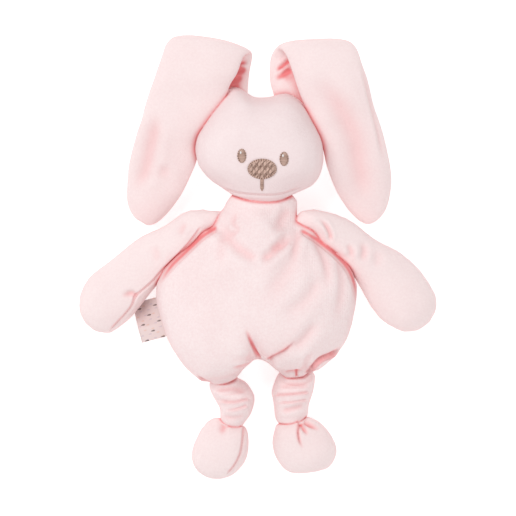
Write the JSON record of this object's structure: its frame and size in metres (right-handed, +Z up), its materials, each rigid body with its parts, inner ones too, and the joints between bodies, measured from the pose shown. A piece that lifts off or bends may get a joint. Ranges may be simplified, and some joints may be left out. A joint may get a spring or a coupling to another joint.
{
  "type": "stuffed bunny",
  "caption": "Soft stuffed bunny lying on its back, with long folded ears, a pear-shaped body, bag arms, knotted legs and an embroidered face.",
  "frame": {"origin": "under the middle of the toy, on the surface it lies on", "axes": "+Z up out of the belly, +Y towards the top of the head, +X to the toy's own left"},
  "size_m": [0.2906, 0.3574, 0.0819],
  "materials": {
    "velour": "matte",
    "face_jersey": "matte",
    "fibre_filling": "matte",
    "taupe_thread": "satin",
    "white_thread": "satin",
    "satin_ribbon": "satin"
  },
  "bodies": {
    "torso": {"body_front_panel": "velour", "body_back_panel": "velour", "body_stuffing": "fibre_filling"},
    "head": {"head_front_panel": "face_jersey", "head_back_panel": "face_jersey", "head_stuffing": "fibre_filling", "right_eye": "taupe_thread", "right_eye_highlight": "white_thread", "left_eye": "taupe_thread", "left_eye_highlight": "white_thread", "nose": "taupe_thread", "mouth": "taupe_thread"},
    "right_ear_root": {"right_ear_root_front_panel": "velour", "right_ear_root_back_panel": "velour", "right_ear_root_stuffing": "fibre_filling"},
    "right_ear_flap": {"right_ear_flap_front_panel": "velour", "right_ear_flap_back_panel": "velour", "right_ear_flap_stuffing": "fibre_filling"},
    "left_ear_root": {"left_ear_root_front_panel": "velour", "left_ear_root_back_panel": "velour", "left_ear_root_stuffing": "fibre_filling"},
    "left_ear_flap": {"left_ear_flap_front_panel": "velour", "left_ear_flap_back_panel": "velour", "left_ear_flap_stuffing": "fibre_filling"},
    "right_arm": {"right_arm_front_panel": "velour", "right_arm_back_panel": "velour", "right_arm_stuffing": "fibre_filling"},
    "left_arm": {"left_arm_front_panel": "velour", "left_arm_back_panel": "velour", "left_arm_stuffing": "fibre_filling"},
    "right_leg": {"right_leg_knot": "velour"},
    "right_foot": {"right_foot_front_panel": "velour", "right_foot_back_panel": "velour", "right_foot_stuffing": "fibre_filling"},
    "left_leg": {"left_leg_knot": "velour"},
    "left_foot": {"left_foot_front_panel": "velour", "left_foot_back_panel": "velour", "left_foot_stuffing": "fibre_filling"},
    "label": {"side_label": "satin_ribbon"}
  },
  "joints": [
    {"name": "head_nod", "type": "hinge", "parent": "torso", "child": "head", "pos_m": [0.0024, 0.0467, 0.06], "axis": [1, 0, 0], "range_deg": [0, 40]},
    {"name": "right_ear_tilt", "type": "hinge", "parent": "head", "child": "right_ear_root", "pos_m": [-0.0161, 0.1321, 0.046], "axis": [1, 0, 0], "range_deg": [0, 40]},
    {"name": "left_ear_tilt", "type": "hinge", "parent": "head", "child": "left_ear_root", "pos_m": [0.0224, 0.1331, 0.046], "axis": [1, 0, 0], "range_deg": [0, 40]},
    {"name": "right_ear_unfold", "type": "hinge", "parent": "right_ear_root", "child": "right_ear_flap", "pos_m": [-0.0357, 0.1756, 0.0456], "axis": [-0.9833, 0.1821, 0], "range_deg": [0, 150]},
    {"name": "left_ear_unfold", "type": "hinge", "parent": "left_ear_root", "child": "left_ear_flap", "pos_m": [0.0444, 0.1776, 0.0456], "axis": [-0.9968, -0.0797, 0], "range_deg": [0, 150]},
    {"name": "right_arm_raise", "type": "hinge", "parent": "torso", "child": "right_arm", "pos_m": [-0.0341, 0.0311, 0.044], "axis": [-0.6532, 0.7572, 0], "range_deg": [0, 100]},
    {"name": "left_arm_raise", "type": "hinge", "parent": "torso", "child": "left_arm", "pos_m": [0.035, 0.0301, 0.044], "axis": [-0.6016, -0.7988, 0], "range_deg": [0, 100]},
    {"name": "right_hip", "type": "hinge", "parent": "torso", "child": "right_leg", "pos_m": [-0.0267, -0.1007, 0.04], "axis": [-1, 0, 0], "range_deg": [0, 90]},
    {"name": "left_hip", "type": "hinge", "parent": "torso", "child": "left_leg", "pos_m": [0.03, -0.0945, 0.04], "axis": [-1, 0, 0], "range_deg": [0, 90]},
    {"name": "right_foot_bend", "type": "hinge", "parent": "right_leg", "child": "right_foot", "pos_m": [-0.0201, -0.1347, 0.041], "axis": [-1, 0, 0], "range_deg": [0, 70]},
    {"name": "left_foot_bend", "type": "hinge", "parent": "left_leg", "child": "left_foot", "pos_m": [0.029, -0.1291, 0.041], "axis": [-1, 0, 0], "range_deg": [0, 70]},
    {"name": "label_flip", "type": "hinge", "parent": "torso", "child": "label", "pos_m": [-0.0806, -0.0339, 0.0312], "axis": [-0.179, 0.9839, 0], "range_deg": [-60, 60]}
  ]
}
